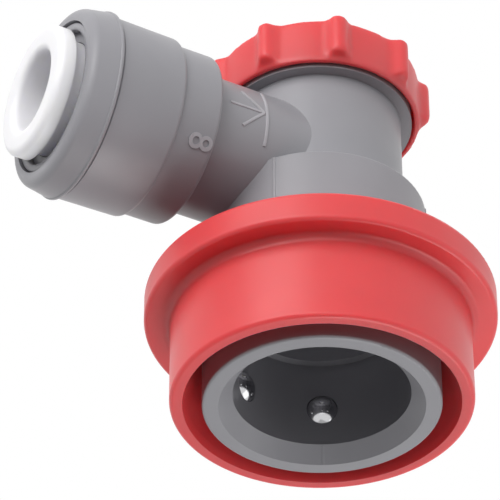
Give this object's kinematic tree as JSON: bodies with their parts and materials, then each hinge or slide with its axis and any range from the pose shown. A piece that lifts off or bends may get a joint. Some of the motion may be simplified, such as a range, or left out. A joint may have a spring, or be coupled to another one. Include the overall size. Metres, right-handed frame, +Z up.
{
  "type": "plastic quick disconnect coupling",
  "caption": "Plastic ball-lock quick disconnect with a sprung red collar, a red screw cap over its valve, and a push-to-connect side arm for tube.",
  "frame": {"origin": "on the barrel's axis at the lower end of the post's seal bore", "axes": "+Z up the barrel towards the screw cap, -X out along the arm"},
  "size_m": [0.0508, 0.0356, 0.0413],
  "materials": {
    "grey_acetal": "moulded, slight sheen",
    "red_acetal": "moulded, slight sheen",
    "white_acetal": "moulded, smooth",
    "ball_steel": "polished",
    "spring_steel": "drawn wire and strip",
    "black_rubber": "smooth moulded seal"
  },
  "bodies": {
    "housing": {"coupling_body": "grey_acetal", "tube_retainer": "grey_acetal", "tube_seal_inner": "black_rubber", "seal_spacer": "white_acetal", "tube_seal_outer": "black_rubber"},
    "collar": {"locking_collar": "red_acetal", "collar_spring": "spring_steel"},
    "valve": {"valve_stem": "white_acetal", "valve_seal": "black_rubber", "valve_spring": "spring_steel"},
    "collet": {"release_collet": "white_acetal", "collet_teeth": "spring_steel"},
    "cap_seal_ring": {"cap_seal": "black_rubber"},
    "screw_cap": {"top_cap": "red_acetal"},
    "ball_1": {"lock_ball_1": "ball_steel"},
    "ball_2": {"lock_ball_2": "ball_steel"},
    "ball_3": {"lock_ball_3": "ball_steel"},
    "ball_4": {"lock_ball_4": "ball_steel"}
  },
  "joints": [
    {"name": "collar_slide", "type": "slide", "parent": "housing", "child": "collar", "axis": [0, 0, 1], "range_m": [0, 0.003], "stiffness_N_per_m": 1500, "springref_m": -0.004, "deforming": ["collar_spring"]},
    {"name": "ball_1_slide", "type": "slide", "parent": "housing", "child": "ball_1", "axis": [0.5, 0.866, 0], "range_m": [0, 0.00086]},
    {"name": "ball_2_slide", "type": "slide", "parent": "housing", "child": "ball_2", "axis": [-0.5, 0.866, 0], "range_m": [0, 0.00086]},
    {"name": "ball_3_slide", "type": "slide", "parent": "housing", "child": "ball_3", "axis": [-0.5, -0.866, 0], "range_m": [0, 0.00086]},
    {"name": "ball_4_slide", "type": "slide", "parent": "housing", "child": "ball_4", "axis": [0.5, -0.866, 0], "range_m": [0, 0.00086]},
    {"name": "valve_slide", "type": "slide", "parent": "housing", "child": "valve", "axis": [0, 0, 1], "range_m": [0, 0.003], "stiffness_N_per_m": 400, "springref_m": -0.004, "deforming": ["valve_spring"]},
    {"name": "release_slide", "type": "slide", "parent": "housing", "child": "collet", "axis": [1, 0, 0], "range_m": [0, 0.0015]},
    {"name": "cap_lift", "type": "slide", "parent": "housing", "child": "cap_seal_ring", "axis": [0, 0, 1], "range_m": [0, 0.006]},
    {"name": "cap_turn", "type": "hinge", "parent": "cap_seal_ring", "child": "screw_cap", "pos_m": [0, 0, 0.027], "axis": [0, 0, 1], "range_deg": [0, 1081]}
  ],
  "couplings": [
    {"joint": "ball_1_slide", "follows": "collar_slide", "ratio": 0.28333},
    {"joint": "ball_2_slide", "follows": "collar_slide", "ratio": 0.28333},
    {"joint": "ball_3_slide", "follows": "collar_slide", "ratio": 0.28333},
    {"joint": "ball_4_slide", "follows": "collar_slide", "ratio": 0.28333},
    {"joint": "cap_turn", "follows": "cap_lift", "rad_per_m": 3141.6}
  ]
}
